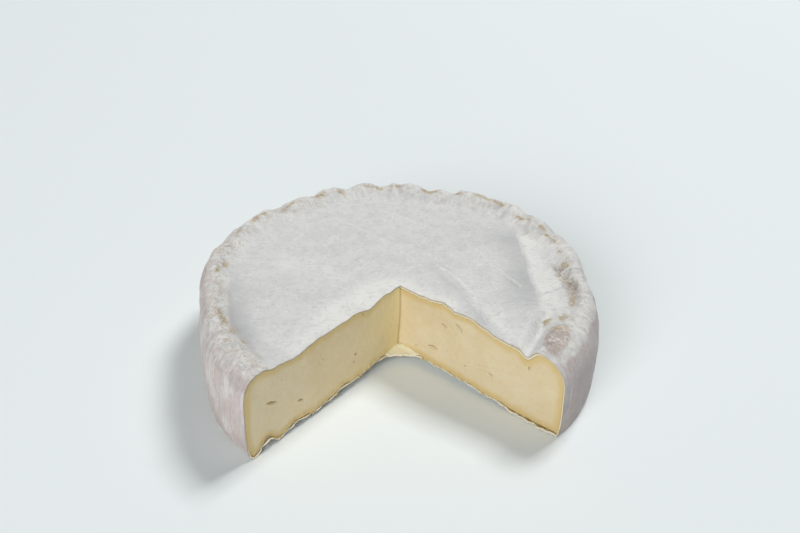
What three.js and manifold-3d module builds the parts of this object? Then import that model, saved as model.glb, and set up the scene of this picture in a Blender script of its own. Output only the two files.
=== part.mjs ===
// A wheel of soft cheese with a white mould rind, with one wedge cut out of its front.
// Millimetres, +Z up. The wheel lies on the flat ring of its underside, the open cut faces -Y
// and the origin is the centre of the footprint.
import * as THREE from "three";
import Module from "manifold-3d";
import { mergeVertices } from "three/addons/utils/BufferGeometryUtils.js";

// Driving dimensions of the whole wheel
const BELLY_HEIGHT = 29; // where the side bulges furthest
const PLATE_HEIGHT = 45.6; // of the pressed top, halfway out
const CENTRE_DIP = 0.8; // how far the top sinks at the middle
const CENTRE_DIP_REACH = 25;
const BASE_DISH = 4.2; // how far the underside is hollowed at the middle
const BASE_DISH_SHARE = 0.76; // of the way out to the foot, where the flat ring begins
const FOOT_SQUARENESS = 3.2;

// The rim: a puckered crest that stands above the pressed top. A wheel of this size is 110 mm
// in radius, but it sags and flattens as it ripens, so its rim is given every 15 degrees:
// radius of the belly, distance from there in to the crest, rise of the crest above the top,
// squareness of the shoulder, distance from the crest in to the flat of the top, and distance
// from the belly in to the foot. Directions run from -Y towards +X and on round the back.
const RIM_FROM = 30; // degrees, just before the right slice
const RIM_STEP = 15;
const RIM = [
  [107.5, 18.5, -0.3, 2.1, 10, 2.2],
  [108.2, 17.5, -0.2, 2.2, 9, 2.6],
  [109.4, 13.5, 1.8, 2.1, 8, 4],
  [108.7, 10.5, 3.3, 2.1, 7, 5.5],
  [105.7, 9, 3.8, 2.2, 8, 5.5],
  [109.1, 9.6, 4, 2.2, 9, 5.5],
  [110.4, 9.6, 4.3, 2.2, 14, 5.5],
  [110.3, 9.2, 4.5, 2.3, 14, 5.5],
  [110.9, 9.8, 5.5, 2.2, 12, 5.5],
  [109.9, 10.6, 4.9, 2.1, 11, 5.5],
  [110.6, 10.1, 5.4, 2.3, 11, 5.5],
  [111, 9.4, 5.8, 2.2, 11, 5.5],
  [110.2, 10.2, 5.1, 2.2, 11, 5.5],
  [111, 10.6, 4.8, 2.1, 10.5, 5.5],
  [111.4, 11, 4.1, 2.2, 10, 5.5],
  [109.2, 9.8, 3.8, 2.3, 9.5, 5.5],
  [104.8, 8, 3.7, 2.2, 9.5, 5.5],
  [106.5, 10, 4, 2.1, 8.5, 5.5],
  [111.6, 12.4, 3.4, 2.3, 8, 5.5],
  [114.7, 12.8, 2.4, 2.9, 11, 5.5],
  [117, 13, 2.3, 3, 12, 5.5],
];
const [RADIUS, INSET, RISE, SQUARENESS, WIDTH, FOOT] = [0, 1, 2, 3, 4, 5]; // the columns of that table
const FIRST_PUCKER = 55; // degrees
const PUCKER_PITCH = 12.4; // degrees from one crease to the next
const PUCKER_WIDTH = 2.3; // degrees
const PUCKER_DEPTH = 2.4;

// The cut: two straight slices that meet near the wheel's axis
const CUT_HALF_ANGLE = 44.5; // degrees either side of -Y
const CUT_POINT = { x: 2.2, y: 1 }; // from the wheel's axis
const LEDGE = { left: 12.6, right: 13.8, thickness: 2.6 }; // the scrap left in the corner of the cut

// The mesh
const COLUMNS = 164; // round the outside, from slice to slice
const CROWDING = 0.045; // how much closer the columns stand beside the slices
const FOOT_STEPS = 5;
const SHOULDER_STEPS = 6;
const CREST_STEPS = [0.2, 0.4, 0.58, 0.76, 0.95, 1.15, 1.4]; // in crest widths
const TOP_STEPS = [0.12, 0.24, 0.36, 0.48, 0.59, 0.69, 0.78, 0.86, 0.94]; // from the rim to the cut's point
const BOTTOM_STEPS = [0.15, 0.31, 0.42, 0.5, 0.59, 0.68, 0.735, 0.79, 0.835, 0.88, 0.918, 0.95];

const radians = THREE.MathUtils.degToRad;
const smooth = (t) => THREE.MathUtils.smoothstep(t, 0, 1);
const hump = (distance, width) => Math.exp(-((distance / width) ** 2));
// An even spread of numbers from 0 to 1 that looks drawn at random.
const draw = (k) => {
  const n = Math.sin(k * 127.1 + 11.7) * 43758.5453;
  return n - Math.floor(n);
};

// A column of the rim table, in any direction given in radians.
function rimValue(column, direction) {
  const turned = (THREE.MathUtils.radToDeg(direction) + 360) % 360;
  const place = THREE.MathUtils.clamp((turned - RIM_FROM) / RIM_STEP, 0, RIM.length - 1.001);
  const k = Math.floor(place);
  const [a, b, c, d] = [-1, 0, 1, 2].map((n) => RIM[THREE.MathUtils.clamp(k + n, 0, RIM.length - 1)][column]);
  const t = place - k;
  return b + 0.5 * t * (c - a + t * (2 * a - 5 * b + 4 * c - d + t * (3 * (b - c) + d - a)));
}
// The surface is laid out in directions round the point where the slices meet.
const directionOf = (phi) => ({ x: Math.sin(phi), y: -Math.cos(phi) });

// The distance from the cut's point to the belly of the wheel, found by closing in on it.
const REACH_PASSES = 8;
function reach(phi) {
  const d = directionOf(phi);
  let distance = rimValue(RADIUS, phi);
  for (let pass = 0; pass < REACH_PASSES; pass++) {
    const x = CUT_POINT.x + distance * d.x;
    const y = CUT_POINT.y + distance * d.y;
    distance += rimValue(RADIUS, Math.atan2(x, -y)) - Math.hypot(x, y);
  }
  return distance;
}

// Creases where the rind was gathered at the rim, at uneven steps and of uneven depth.
const PUCKERS = Array.from({ length: 20 }, (_, k) => ({
  at: FIRST_PUCKER + PUCKER_PITCH * (k + 0.55 * (draw(k) - 0.5)),
  depth: PUCKER_DEPTH * (0.35 + draw(k + 40)),
  width: PUCKER_WIDTH * (0.7 + 0.8 * draw(k + 80)),
}));
const pucker = (phi) => {
  const degrees = THREE.MathUtils.radToDeg(phi);
  return PUCKERS.reduce((sum, p) => sum + p.depth * hump(degrees - p.at, p.width), 0);
};

// The creases fade out towards the left slice, where the rim is only rounded over.
const PUCKERS_END = { from: 285, to: 312 };
const crestRise = (phi) => {
  const degrees = THREE.MathUtils.radToDeg(phi);
  const faded = smooth((degrees - PUCKERS_END.from) / (PUCKERS_END.to - PUCKERS_END.from));
  return rimValue(RISE, phi) - pucker(phi) * (1 - faded);
};
const crestInset = (phi) => rimValue(INSET, phi) + 0.6 * Math.sin(7.3 * phi) + 0.5 * Math.sin(12.1 * phi + 1);

// Soft folds pressed into the top: a line from one point to another, its height and its width.
const FOLD_FADE = 14; // length over which a fold dies away at its ends
const FOLDS = [
  { from: [21, 20], to: [41, -34], height: 1.5, width: 5 },
  { from: [42, 36], to: [68, -8], height: 0.5, width: 2.4 },
  { from: [71, 46], to: [71.5, -34], height: 0.9, width: 4.5 },
  { from: [53, -73], to: [76, -30], height: -5.3, width: 3.9 },
  { from: [51, -60], to: [52, -24], height: -4.1, width: 9.8 },
  { from: [56, -30], to: [54, 26], height: -1.9, width: 9.5 },
  { from: [88.5, 15], to: [93, -16], height: -1.4, width: 2.4 },
  { from: [-34, 74], to: [8, 34], height: 1.3, width: 6 },
  { from: [-8, 82], to: [30, 52], height: 1.1, width: 5 },
  { from: [-80, -42], to: [-80, 42], height: -1.3, width: 12 },
  { from: [-10, -21.5], to: [-24, -7.5], height: -2.7, width: 6.5 },
  { from: [-47, -63], to: [-68, -42], height: -1.7, width: 8 },
  { from: [15, -28], to: [35, -8], height: 1.9, width: 7 },
];
function foldHeight(x, y) {
  return FOLDS.reduce((sum, fold) => {
    const alongX = fold.to[0] - fold.from[0];
    const alongY = fold.to[1] - fold.from[1];
    const length = Math.hypot(alongX, alongY);
    const along = ((x - fold.from[0]) * alongX + (y - fold.from[1]) * alongY) / length;
    const across = ((x - fold.from[0]) * alongY - (y - fold.from[1]) * alongX) / length;
    const ends = smooth(along / FOLD_FADE + 0.5) * smooth((length - along) / FOLD_FADE + 0.5);
    return sum + fold.height * hump(across, fold.width) * ends;
  }, 0);
}

// A blister of rind folded in over the rim beside the right slice: flat on top and steep round it.
const BLISTER = { x: 76, y: -54, turn: 72, height: 3.2, length: 10.8, width: 5.8 };
function blisterHeight(x, y) {
  const c = Math.cos(radians(BLISTER.turn));
  const s = Math.sin(radians(BLISTER.turn));
  const along = (x - BLISTER.x) * c + (y - BLISTER.y) * s;
  const across = (y - BLISTER.y) * c - (x - BLISTER.x) * s;
  return BLISTER.height * hump((along / BLISTER.length) ** 2 + (across / BLISTER.width) ** 2, 1);
}

// Height of the top, and of the rim's crest on it, at a place measured from the wheel's axis.
function topHeight(x, y, phi, inset) {
  const fromPoint = Math.hypot(x - CUT_POINT.x, y - CUT_POINT.y);
  const crest = 1 - smooth(Math.max(0, inset - crestInset(phi)) / rimValue(WIDTH, phi));
  return (
    PLATE_HEIGHT -
    CENTRE_DIP * hump(fromPoint, CENTRE_DIP_REACH) +
    foldHeight(x, y) +
    crestRise(phi) * crest +
    blisterHeight(x, y)
  );
}

// A point of the outside, `inset` in from the belly, measured from the wheel's axis.
function outsidePoint(phi, inset, height) {
  const d = directionOf(phi);
  const distance = reach(phi) - inset;
  return new THREE.Vector3(CUT_POINT.x + distance * d.x, CUT_POINT.y + distance * d.y, height);
}
function topPoint(phi, inset) {
  const p = outsidePoint(phi, inset, 0);
  p.z = topHeight(p.x, p.y, phi, inset);
  return p;
}

// The side is two quarters of a squared-off ellipse: foot to belly, and belly to crest.
function wallPoint(phi, turn) {
  const low = turn < 0;
  const power = 2 / (low ? FOOT_SQUARENESS : rimValue(SQUARENESS, phi));
  const inwards = 1 - Math.cos(turn) ** power;
  const upwards = Math.abs(Math.sin(turn)) ** power;
  if (low) return outsidePoint(phi, rimValue(FOOT, phi) * inwards, BELLY_HEIGHT * (1 - upwards));
  const crest = topPoint(phi, crestInset(phi)).z;
  return outsidePoint(phi, crestInset(phi) * inwards, BELLY_HEIGHT + (crest - BELLY_HEIGHT) * upwards);
}

// The knife dragged the underside up along the foot of the left slice, and tore it near its outer
// end: distance from the cut's point, height and length of each lift.
const LIFTS = [
  { at: 17, height: 1.2, length: 5 },
  { at: 47, height: 2, length: 4.5 },
  { at: 82, height: 3.1, length: 8 },
  { at: 102.3, height: 4.9, length: 5 },
];
const LIFT_DEPTH = 8; // from the slice into the wheel
const LIFT_FADE = 2.5; // just inside the foot of the side
function footLift(phi, distance) {
  const fromSlice = Math.min(Math.PI / 2, 2 * Math.PI - radians(CUT_HALF_ANGLE) - phi);
  const toFoot = reach(phi) - rimValue(FOOT, phi) - distance;
  const lift = LIFTS.reduce((sum, l) => sum + l.height * hump(distance - l.at, l.length), 0);
  return lift * hump(distance * Math.sin(fromSlice), LIFT_DEPTH) * smooth(toFoot / LIFT_FADE);
}

// The underside is hollowed up to its middle and flat in a ring under the rim.
function basePoint(phi, share) {
  const dish = BASE_DISH * Math.max(0, 1 - (share / BASE_DISH_SHARE) ** 2);
  const distance = (reach(phi) - rimValue(FOOT, phi)) * share;
  return outsidePoint(phi, reach(phi) - distance, dish + footLift(phi, distance));
}

// The rind and both slices, as one closed surface made of rings round the cut's point.
function wheelGeometry() {
  const points = [];
  const faces = [];
  const ring = (count, pointAt) =>
    Array.from({ length: count + 1 }, (_, k) => {
      const even = k / Math.max(count, 1);
      const share = even - CROWDING * Math.sin(2 * Math.PI * even);
      const phi = radians(CUT_HALF_ANGLE + share * (360 - 2 * CUT_HALF_ANGLE));
      return points.push(pointAt(phi)) - 1;
    });
  // Fewer columns are needed near the cut's point, where the rings are short.
  const columnsAt = (share) => Math.max(14, COLUMNS >> Math.floor(2.9 * share));

  const rings = [ring(0, (phi) => basePoint(phi, 0))];
  for (const share of BOTTOM_STEPS) {
    rings.push(ring(columnsAt(1 - share), (phi) => basePoint(phi, share)));
  }
  for (let k = -FOOT_STEPS; k <= SHOULDER_STEPS; k++) {
    const turn = (Math.PI / 2) * (k / (k < 0 ? FOOT_STEPS : SHOULDER_STEPS));
    rings.push(ring(COLUMNS, (phi) => wallPoint(phi, turn)));
  }
  for (const widths of CREST_STEPS) {
    rings.push(ring(COLUMNS, (phi) => topPoint(phi, crestInset(phi) + rimValue(WIDTH, phi) * widths)));
  }
  const plateInset = (phi) => crestInset(phi) + rimValue(WIDTH, phi) * CREST_STEPS.at(-1);
  for (const share of TOP_STEPS) {
    const inset = (phi) => plateInset(phi) * (1 - share) + reach(phi) * share;
    rings.push(ring(columnsAt(share), (phi) => topPoint(phi, inset(phi))));
  }
  rings.push(ring(0, (phi) => topPoint(phi, reach(phi))));

  rings.slice(1).forEach((outer, k) => stitch(rings[k], outer, faces));
  closeSlice(rings.map((r) => r[0]), false, points, faces);
  closeSlice(rings.map((r) => r.at(-1)), true, points, faces);

  const geometry = new THREE.BufferGeometry();
  geometry.setFromPoints(points);
  geometry.setIndex(faces.flat());
  return geometry;
}

// Joins two neighbouring rings, which may have different numbers of points.
function stitch(a, b, faces) {
  let i = 0;
  let j = 0;
  while (i < a.length - 1 || j < b.length - 1) {
    const nextOnA = (i + 1) / (a.length - 1);
    const nextOnB = (j + 1) / (b.length - 1);
    const stepOnA = j === b.length - 1 || (i < a.length - 1 && nextOnA <= nextOnB);
    if (stepOnA) faces.push([a[i], a[++i], b[j]]);
    else faces.push([a[i], b[j + 1], b[j++]]);
  }
}

// Fills one flat slice from the outline that the rings leave on it.
function closeSlice(outline, reversed, points, faces) {
  const flat = outline.map((k) => {
    const p = points[k];
    return new THREE.Vector2(Math.hypot(p.x - CUT_POINT.x, p.y - CUT_POINT.y), p.z);
  });
  for (const [a, b, c] of THREE.ShapeUtils.triangulateShape(flat, [])) {
    faces.push(reversed ? [outline[a], outline[c], outline[b]] : [outline[a], outline[b], outline[c]]);
  }
}

// Small eyes in the paste: the slice, the distance from the cut's point, the height, the length and
// width of the mouth, the depth, and the tilt.
const EYE_SIDES = 12;
const EYES = [
  ["left", 98, 25.8, 9, 2.2, 1.8, 23],
  ["left", 78.2, 15.1, 4.6, 1.7, 1.2, 20],
  ["left", 36.1, 20.3, 2.4, 1.8, 1.6, 0],
  ["left", 90, 35.5, 2.6, 1.6, 1, 20],
  ["right", 39.7, 35.7, 5.6, 3.2, 2, -39],
  ["right", 30, 32.6, 4.6, 2, 1.4, -8],
  ["right", 22.6, 15.1, 7.4, 2.3, 1.8, 14],
  ["right", 85.3, 32.8, 3.4, 2, 1.2, 80],
  ["right", 61.7, 16.1, 3, 1.8, 1, -15],
];
function eyeGeometry([slice, along, height, length, width, depth, tilt]) {
  const phi = radians(slice === "right" ? CUT_HALF_ANGLE : -CUT_HALF_ANGLE);
  const d = directionOf(phi);
  const acrossSlice = new THREE.Vector3(-d.y, d.x, 0);
  const alongSlice = new THREE.Vector3(d.x, d.y, 0);
  const upSlice = new THREE.Vector3(0, 0, 1);
  alongSlice.applyAxisAngle(acrossSlice, radians(tilt));
  upSlice.applyAxisAngle(acrossSlice, radians(tilt));
  const frame = new THREE.Matrix4().makeBasis(alongSlice, acrossSlice, upSlice);
  frame.setPosition(CUT_POINT.x + along * d.x, CUT_POINT.y + along * d.y, height);
  const geometry = new THREE.SphereGeometry(1, EYE_SIDES, EYE_SIDES / 2);
  geometry.scale(length / 2, depth, width / 2);
  return geometry.applyMatrix4(frame);
}

// The scrap of rind and paste that stayed in the corner when the wedge was lifted out. Its front
// edge is torn, and sags back between the slices.
const TORN_STEPS = 9;
const TORN_ROUGHNESS = 0.9;
const TORN_SAG = 0.8;
function ledgeGeometry() {
  const buried = 4;
  const left = directionOf(radians(-CUT_HALF_ANGLE));
  const right = directionOf(radians(CUT_HALF_ANGLE));
  const at = (leftPart, rightPart, back) => [
    CUT_POINT.x + left.x * leftPart + right.x * rightPart,
    CUT_POINT.y + left.y * leftPart + right.y * rightPart + back,
  ];
  const shape = new THREE.Shape();
  shape.moveTo(...at(0, 0, buried));
  shape.lineTo(...at(LEDGE.left, 0, buried));
  for (let k = 0; k <= TORN_STEPS; k++) {
    const share = k / TORN_STEPS;
    const torn = TORN_SAG * Math.sin(Math.PI * share) + TORN_ROUGHNESS * (draw(k + 200) - 0.5);
    shape.lineTo(...at(LEDGE.left * (1 - share), LEDGE.right * share, torn));
  }
  shape.lineTo(...at(0, LEDGE.right, buried));
  shape.closePath();
  const scrap = new THREE.ExtrudeGeometry(shape, { depth: LEDGE.thickness, bevelEnabled: false });
  return scrap.translate(0, 0, BASE_DISH);
}

const wasm = await Module();
wasm.setup();
function solidFrom(geometry) {
  const bare = geometry.clone();
  bare.deleteAttribute("normal");
  bare.deleteAttribute("uv");
  const merged = mergeVertices(bare, 1e-4);
  return new wasm.Manifold(
    new wasm.Mesh({
      numProp: 3,
      vertProperties: merged.attributes.position.array,
      triVerts: new Uint32Array(merged.index.array),
    }),
  );
}
function geometryFrom(solid) {
  const { vertProperties, triVerts } = solid.getMesh();
  const geometry = new THREE.BufferGeometry();
  geometry.setAttribute("position", new THREE.BufferAttribute(vertProperties, 3));
  geometry.setIndex(new THREE.BufferAttribute(triVerts, 1));
  geometry.computeVertexNormals();
  return geometry;
}

let cheese = solidFrom(wheelGeometry()).add(solidFrom(ledgeGeometry()));
for (const eye of EYES) {
  cheese = cheese.subtract(solidFrom(eyeGeometry(eye)));
}

const rind = new THREE.MeshStandardMaterial({ color: 0xe9e6dd, roughness: 0.92, metalness: 0 });
const wheel = new THREE.Mesh(geometryFrom(cheese), rind);
wheel.name = "cheese_wheel";
const footprint = new THREE.Box3().setFromObject(wheel).getCenter(new THREE.Vector3());
wheel.position.set(-footprint.x, -footprint.y, 0);

const part = new THREE.Group();
part.add(wheel);
export default part;
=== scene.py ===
import math

import bpy
import numpy as np
from mathutils import Matrix, Vector


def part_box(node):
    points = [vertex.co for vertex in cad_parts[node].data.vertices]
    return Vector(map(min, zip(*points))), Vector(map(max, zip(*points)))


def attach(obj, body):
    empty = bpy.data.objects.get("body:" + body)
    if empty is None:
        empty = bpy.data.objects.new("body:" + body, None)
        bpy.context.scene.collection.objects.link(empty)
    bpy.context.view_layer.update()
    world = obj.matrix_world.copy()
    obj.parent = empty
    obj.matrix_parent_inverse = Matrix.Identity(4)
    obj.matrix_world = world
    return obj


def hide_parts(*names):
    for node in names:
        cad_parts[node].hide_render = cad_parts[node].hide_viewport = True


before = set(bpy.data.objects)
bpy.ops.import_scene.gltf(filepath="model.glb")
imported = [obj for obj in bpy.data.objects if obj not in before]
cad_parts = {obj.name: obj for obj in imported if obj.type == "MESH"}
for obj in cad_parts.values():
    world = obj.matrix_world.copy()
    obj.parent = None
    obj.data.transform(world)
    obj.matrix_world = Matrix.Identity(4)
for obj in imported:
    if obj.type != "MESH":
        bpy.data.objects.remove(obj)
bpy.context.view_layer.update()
scene = bpy.context.scene

# The camera
# It stands a little left of the open cut and looks down on the wheel.
CAMERA_PLACE = Vector((-0.0475, -0.5691, 0.4203))
CAMERA_TARGET = Vector((0.0070, 0.0455, 0.0187))
CAMERA_ROLL = math.radians(0.61)
CAMERA_LENS = 56.9
camera = bpy.data.objects.new("camera", bpy.data.cameras.new("camera"))
camera.data.lens = CAMERA_LENS
camera.data.sensor_width = 36
aim = (CAMERA_TARGET - CAMERA_PLACE).to_track_quat("-Z", "Y").to_matrix().to_4x4()
camera.matrix_world = Matrix.Translation(CAMERA_PLACE) @ aim @ Matrix.Rotation(CAMERA_ROLL, 4, "Z")
scene.collection.objects.link(camera)
scene.camera = camera

# The rind
# A skin of white mould, about a millimetre thick, grown over a wheel that was pressed flat on its
# top and gathered into puckers at its rim. It is made as one closed shell that ends at the slices.
BELLY_HEIGHT = 29
PLATE_HEIGHT = 45.6
CENTRE_DIP = 0.8
CENTRE_DIP_REACH = 25
BASE_DISH = 4.2
BASE_DISH_SHARE = 0.76
FOOT_SQUARENESS = 3.2
# Every 15 degrees from just before the right slice round the back: the radius of the belly, the
# distance in to the crest, the rise of the crest above the top, squareness of the shoulder, the
# distance from the crest in to the flat of the top, and from the belly in to the foot.
RIM_FROM = 30
RIM_STEP = 15
RIM = np.array([
    [107.5, 18.5, -0.3, 2.1, 10, 2.2],
    [108.2, 17.5, -0.2, 2.2, 9, 2.6],
    [109.4, 13.5, 1.8, 2.1, 8, 4],
    [108.7, 10.5, 3.3, 2.1, 7, 5.5],
    [105.7, 9, 3.8, 2.2, 8, 5.5],
    [109.1, 9.6, 4, 2.2, 9, 5.5],
    [110.4, 9.6, 4.3, 2.2, 14, 5.5],
    [110.3, 9.2, 4.5, 2.3, 14, 5.5],
    [110.9, 9.8, 5.5, 2.2, 12, 5.5],
    [109.9, 10.6, 4.9, 2.1, 11, 5.5],
    [110.6, 10.1, 5.4, 2.3, 11, 5.5],
    [111, 9.4, 5.8, 2.2, 11, 5.5],
    [110.2, 10.2, 5.1, 2.2, 11, 5.5],
    [111, 10.6, 4.8, 2.1, 10.5, 5.5],
    [111.4, 11, 4.1, 2.2, 10, 5.5],
    [109.2, 9.8, 3.8, 2.3, 9.5, 5.5],
    [104.8, 8, 3.7, 2.2, 9.5, 5.5],
    [106.5, 10, 4, 2.1, 8.5, 5.5],
    [111.6, 12.4, 3.4, 2.3, 8, 5.5],
    [114.7, 12.8, 2.4, 2.9, 11, 5.5],
    [117, 13, 2.3, 3, 12, 5.5],
])
RADIUS, INSET, RISE, SQUARENESS, WIDTH, FOOT = range(6)
# The puckers: the first one's place and their pitch and width in degrees, their depth and number,
# and where they fade out on the left. The crest also wavers: depth, waves in a radian and start.
FIRST_PUCKER = 55
PUCKER_PITCH = 12.4
PUCKER_WIDTH = 2.3
PUCKER_DEPTH = 2.4
PUCKERS = 20
PUCKERS_FADE = (285, 312)
CREST_WAVES = [(0.6, 7.3, 0), (0.5, 12.1, 1)]
# The directions of the right and the left slice, turned from the front, and the cut's point.
CUT_ANGLE = math.radians(44.5)
LEFT_ANGLE = 2 * math.pi - CUT_ANGLE
CUT_POINT = np.array([2.2, 1.0, 0.0])
# Soft folds of the top: from, to, height and width.
FOLD_FADE = 14
FOLDS = [
    ((21, 20), (41, -34), 1.5, 5),
    ((42, 36), (68, -8), 0.5, 2.4),
    ((71, 46), (71.5, -34), 0.9, 4.5),
    ((53, -73), (76, -30), -5.3, 3.9),
    ((51, -60), (52, -24), -4.1, 9.8),
    ((56, -30), (54, 26), -1.9, 9.5),
    ((88.5, 15), (93, -16), -1.4, 2.4),
    ((-34, 74), (8, 34), 1.3, 6),
    ((-8, 82), (30, 52), 1.1, 5),
    ((-80, -42), (-80, 42), -1.3, 12),
    ((-10, -21.5), (-24, -7.5), -2.7, 6.5),
    ((-47, -63), (-68, -42), -1.7, 8),
    ((15, -28), (35, -8), 1.9, 7),
]
# Thin ridges along the backs of the folds, where the cloth lay double: from, to, height, width.
RIDGES = [
    ((22, 18), (33, 5.5), 0.65, 0.75),
    ((33, 5.5), (40.5, -12), 0.55, 0.9),
    ((40.5, -12), (40, -30), 0.4, 1.1),
    ((46, 34), (58, 12), 0.65, 0.75),
    ((58, 12), (66, -6), 0.65, 0.8),
    ((72, -12.4), (80.5, -8.2), 0.5, 0.8),
    ((80.5, -8.2), (89, -1), 0.6, 0.8),
    ((72.5, -16), (88, -7), -0.4, 1.1),
    ((-88.5, 4), (-85, -30), -0.5, 1.8),
    ((-85, -30), (-70, -61), -0.6, 1.6),
    ((-32, 72), (6, 36), 0.4, 0.9),
    ((-6, 80), (28, 53), 0.4, 0.8),
]
RIDGE_FADE = 4
RIDGE_WAVER = 0.45
# The blister is flat on top and steep round it.
BLISTER = {"x": 76, "y": -54, "turn": math.radians(72), "height": 3.2, "length": 10.8, "width": 5.8}
BLISTER_FADE = 3
NUB = {"x": 75, "y": -34.2, "height": 1.8, "size": 2.7, "flatness": 1.25}
# The knife dragged the underside up along the foot of the left slice, and tore it near its outer
# end: distance from the cut's point, height and length of each lift.
LIFTS = [(17, 1.2, 5), (47, 2, 4.5), (82, 3.1, 8), (102.3, 4.9, 5)]
LIFT_DEPTH = 8
LIFT_FADE = 2.5
# How unevenly the knife left the edge of the rind: height, size and seed of the coarse and the fine
# steps, how far in they reach, and where one flake broke off the right slice.
RAGGED = [(0.34, 4.2, 23), (0.2, 1.9, 24)]
RAGGED_DEPTH = 2.6
RAGGED_UNDERSIDE = 1.6
FLAKE_AT = 36.8
FLAKE_DEPTH = 1.1
FLAKE_WIDTH = 1.2


def smooth(t):
    t = np.clip(t, 0, 1)
    return t * t * (3 - 2 * t)


def hump(distance, width):
    return np.exp(-((distance / width) ** 2))


def draw(k):
    """A number from 0 to 1 for each whole number."""
    n = math.sin(k * 127.1 + 11.7) * 43758.5453
    return n - math.floor(n)


LATTICE = 48
LATTICE_START = 1000


def noise(points, size, seed):
    """Smooth lumps from -1 to 1, about `size` across; a size for each axis stretches them."""
    lattice = np.random.default_rng(seed).uniform(-1, 1, (LATTICE, LATTICE, LATTICE))
    place = points / np.asarray(size, float) + LATTICE_START
    low = np.floor(place).astype(int)
    t = place - low
    t = t * t * (3 - 2 * t)
    total = np.zeros(points.shape[:-1])
    for corner in range(8):
        step = np.array([corner & 1, corner >> 1 & 1, corner >> 2])
        share = np.prod(np.where(step == 1, t, 1 - t), axis=-1)
        cell = (low + step) % LATTICE
        total += share * lattice[cell[..., 0], cell[..., 1], cell[..., 2]]
    return total


def lumps(points, layers):
    """Layers of noise, each with its height, size and seed."""
    return sum(height * noise(points, size, seed) for height, size, seed in layers)


def rim_value(column, direction):
    """A smooth curve through one column of the rim's sizes."""
    place = np.clip((np.degrees(direction) % 360 - RIM_FROM) / RIM_STEP, 0, len(RIM) - 1.001)
    k = np.floor(place).astype(int)
    a, b, c, d = (RIM[np.clip(k + n, 0, len(RIM) - 1), column] for n in (-1, 0, 1, 2))
    t = place - k
    return b + 0.5 * t * (c - a + t * (2 * a - 5 * b + 4 * c - d + t * (3 * (b - c) + d - a)))


REACH_ROUNDS = 8


def reach(phi):
    """The distance from the cut's point out to the belly."""
    distance = rim_value(RADIUS, phi)
    for _ in range(REACH_ROUNDS):
        x = CUT_POINT[0] + distance * np.sin(phi)
        y = CUT_POINT[1] - distance * np.cos(phi)
        distance = distance + rim_value(RADIUS, np.arctan2(x, -y)) - np.hypot(x, y)
    return distance


def pucker(phi):
    """How deep the gathered rind is creased, in millimetres, in each direction."""
    turned = np.degrees(phi)
    total = np.zeros_like(turned)
    for k in range(PUCKERS):
        at = FIRST_PUCKER + PUCKER_PITCH * (k + 0.55 * (draw(k) - 0.5))
        width = PUCKER_WIDTH * (0.7 + 0.8 * draw(k + 80))
        total += PUCKER_DEPTH * (0.35 + draw(k + 40)) * hump(turned - at, width)
    low, high = PUCKERS_FADE
    return total * (1 - smooth((turned - low) / (high - low)))


def crest_inset(phi):
    waver = sum(depth * np.sin(waves * phi + start) for depth, waves, start in CREST_WAVES)
    return rim_value(INSET, phi) + waver


def along_line(x, y, start, end, fade):
    """The distance from a line, and a weight that dies away at its ends."""
    step_x, step_y = end[0] - start[0], end[1] - start[1]
    length = math.hypot(step_x, step_y)
    along = ((x - start[0]) * step_x + (y - start[1]) * step_y) / length
    across = ((x - start[0]) * step_y - (y - start[1]) * step_x) / length
    return across, smooth(along / fade + 0.5) * smooth((length - along) / fade + 0.5)


def blister_place(x, y):
    """Along and across the blister, from its middle."""
    c, s = math.cos(BLISTER["turn"]), math.sin(BLISTER["turn"])
    along = (x - BLISTER["x"]) * c + (y - BLISTER["y"]) * s
    return along, (y - BLISTER["y"]) * c - (x - BLISTER["x"]) * s


def blister_shape(x, y):
    along, across = blister_place(x, y)
    return hump((along / BLISTER["length"]) ** 2 + (across / BLISTER["width"]) ** 2, 1)


def slice_gap(phi, distance):
    """How far a point is from the nearer slice."""
    turn = np.minimum(phi - CUT_ANGLE, LEFT_ANGLE - phi)
    return distance * np.sin(np.clip(turn, 0, math.pi / 2))


def ragged(phi, distance):
    """The uneven edge that the knife left, which dies away from the slices."""
    left = phi > math.pi
    along = np.stack(np.broadcast_arrays(distance, 500.0 * left, 0 * distance), axis=-1)
    rough = lumps(along, RAGGED) - FLAKE_DEPTH * hump(distance - FLAKE_AT, FLAKE_WIDTH) * ~left
    return rough * hump(slice_gap(phi, distance), RAGGED_DEPTH) * smooth(distance / 5)


def top_height(phi, inset):
    """How high the top lies at a distance in from the belly."""
    distance = reach(phi) - inset
    x = CUT_POINT[0] + distance * np.sin(phi)
    y = CUT_POINT[1] - distance * np.cos(phi)
    height = PLATE_HEIGHT - CENTRE_DIP * hump(distance, CENTRE_DIP_REACH)
    for start, end, rise, width in FOLDS:
        across, weight = along_line(x, y, start, end, FOLD_FADE)
        height = height + rise * hump(across, width) * weight
    crest = 1 - smooth((inset - crest_inset(phi)) / rim_value(WIDTH, phi))
    height = height + (rim_value(RISE, phi) - pucker(phi)) * crest
    return height + BLISTER["height"] * blister_shape(x, y) + ragged(phi, distance)


UNDER_ROWS = 46
WALL_ROWS = 54
TOP_ROWS = 134
WALL_SAMPLES = 241
UNDER_CROWDING = 1.4


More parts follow.
